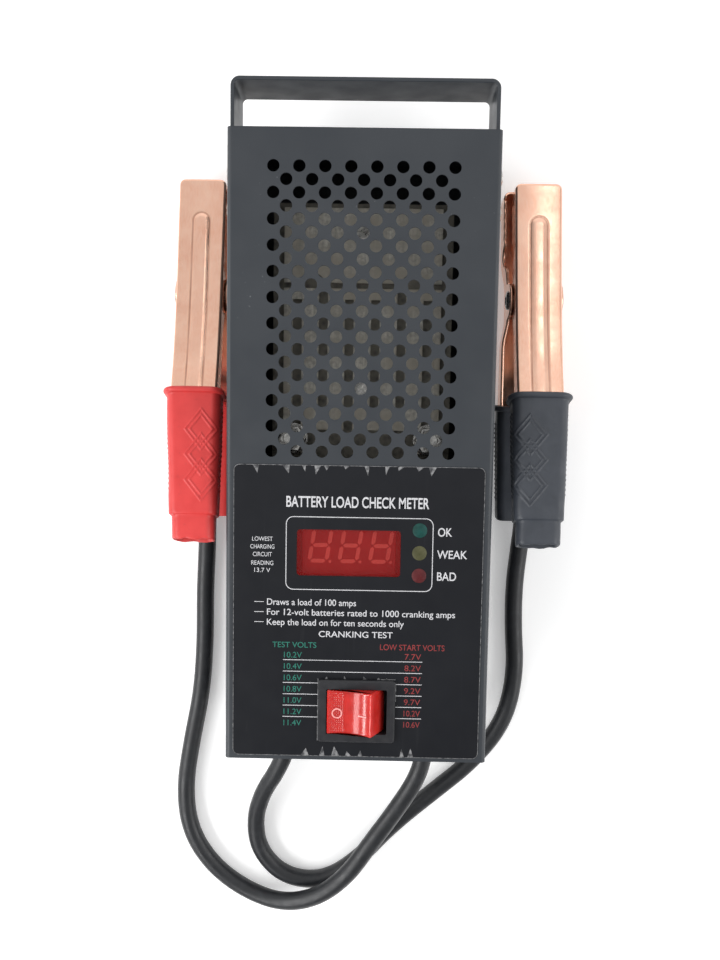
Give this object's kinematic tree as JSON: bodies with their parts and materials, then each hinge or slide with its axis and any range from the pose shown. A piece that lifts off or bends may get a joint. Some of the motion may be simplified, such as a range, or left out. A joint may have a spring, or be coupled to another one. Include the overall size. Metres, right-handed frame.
{
  "type": "battery load tester",
  "caption": "Hand-held digital battery load tester: perforated steel box with strap handle, display, rocker switch and two leads ending in copper clamps.",
  "frame": {"origin": "centre of the back panel's resting face, under the middle of the box", "axes": "+Z out of the front panel, +Y towards the carrying handle, +X to the right of the front panel"},
  "size_m": [0.1726, 0.3643, 0.0691],
  "materials": {
    "housing_paint": "fine-textured dark blue-grey powder coat",
    "zinc_steel": "bright zinc plate",
    "label_film": null,
    "red_window": "transparent red acrylic",
    "display_block": "dark red digit block with paler segments",
    "board_green": "solder-masked circuit board",
    "component_black": "moulded component cases",
    "led_green_lens": "diffused unlit lens",
    "led_yellow_lens": "diffused unlit lens",
    "led_red_lens": "diffused unlit lens",
    "switch_black": "moulded nylon",
    "rocker_red": "glossy translucent red",
    "terminal_brass": "tinned brass",
    "insulator": "dark grey-brown heat-proof board",
    "element_steel": "dull resistance alloy sheet",
    "lead_jacket": "black flexible sheath, satin",
    "grommet_rubber": "matt black rubber",
    "copper_plate": "bright copper-plated steel, satin",
    "red_vinyl": "soft red vinyl grip with embossed diamonds",
    "black_vinyl": "soft black vinyl grip with embossed diamonds",
    "spring_steel": "spring wire"
  },
  "bodies": {
    "root": {"front_cover": "housing_paint", "rear_cover": "housing_paint", "carry_handle": "housing_paint", "handle_screws": "zinc_steel", "handle_nuts": "zinc_steel", "cover_screws": "zinc_steel", "front_label": "label_film", "display_filter": "red_window", "display_module": "display_block", "circuit_board": "board_green", "board_standoffs": "zinc_steel", "board_screws": "zinc_steel", "board_components": "component_black", "switch_housing": "switch_black", "switch_terminals": "terminal_brass", "insulator_board": "insulator", "board_pillars": "zinc_steel", "pillar_screws": "zinc_steel", "element_washers": "zinc_steel", "load_element": "element_steel", "heat_spreader": "element_steel", "load_screws": "zinc_steel", "terminal_bolts": "zinc_steel", "terminal_nuts": "zinc_steel", "ring_lugs": "terminal_brass", "left_inner_lead": "lead_jacket", "right_inner_lead": "lead_jacket", "switch_leads": "lead_jacket", "left_grommet": "grommet_rubber", "right_grommet": "grommet_rubber", "red_clamp_lead": "lead_jacket", "black_clamp_lead": "lead_jacket", "led_green": "led_green_lens", "led_yellow": "led_yellow_lens", "led_red": "led_red_lens", "red_lower_jaw": "copper_plate", "red_lower_grip": "red_vinyl", "red_pivot_pin": "copper_plate", "red_spring": "spring_steel", "red_cable_crimp": "terminal_brass", "black_lower_jaw": "copper_plate", "black_lower_grip": "black_vinyl", "black_pivot_pin": "copper_plate", "black_spring": "spring_steel", "black_cable_crimp": "terminal_brass"},
    "rocker": {"rocker": "rocker_red"},
    "red_clamp_upper": {"red_upper_jaw": "copper_plate", "red_upper_grip": "red_vinyl"},
    "black_clamp_upper": {"black_upper_jaw": "copper_plate", "black_upper_grip": "black_vinyl"}
  },
  "joints": [
    {"name": "rocker_press", "type": "hinge", "parent": "root", "child": "rocker", "pos_m": [0.0003, -0.1041, 0.0554], "axis": [0, 1, 0], "range_deg": [0, 28]},
    {"name": "red_clamp_open", "type": "hinge", "parent": "root", "child": "red_clamp_upper", "pos_m": [-0.0696, 0.065, 0.01694], "axis": [1, 0, 0], "range_deg": [0, 16], "stiffness_Nm_per_rad": 1.5, "springref_deg": -28.65, "deforming": ["red_spring"]},
    {"name": "black_clamp_open", "type": "hinge", "parent": "root", "child": "black_clamp_upper", "pos_m": [0.0743, 0.065, 0.01694], "axis": [1, 0, 0], "range_deg": [0, 16], "stiffness_Nm_per_rad": 1.5, "springref_deg": -28.65, "deforming": ["black_spring"]}
  ]
}
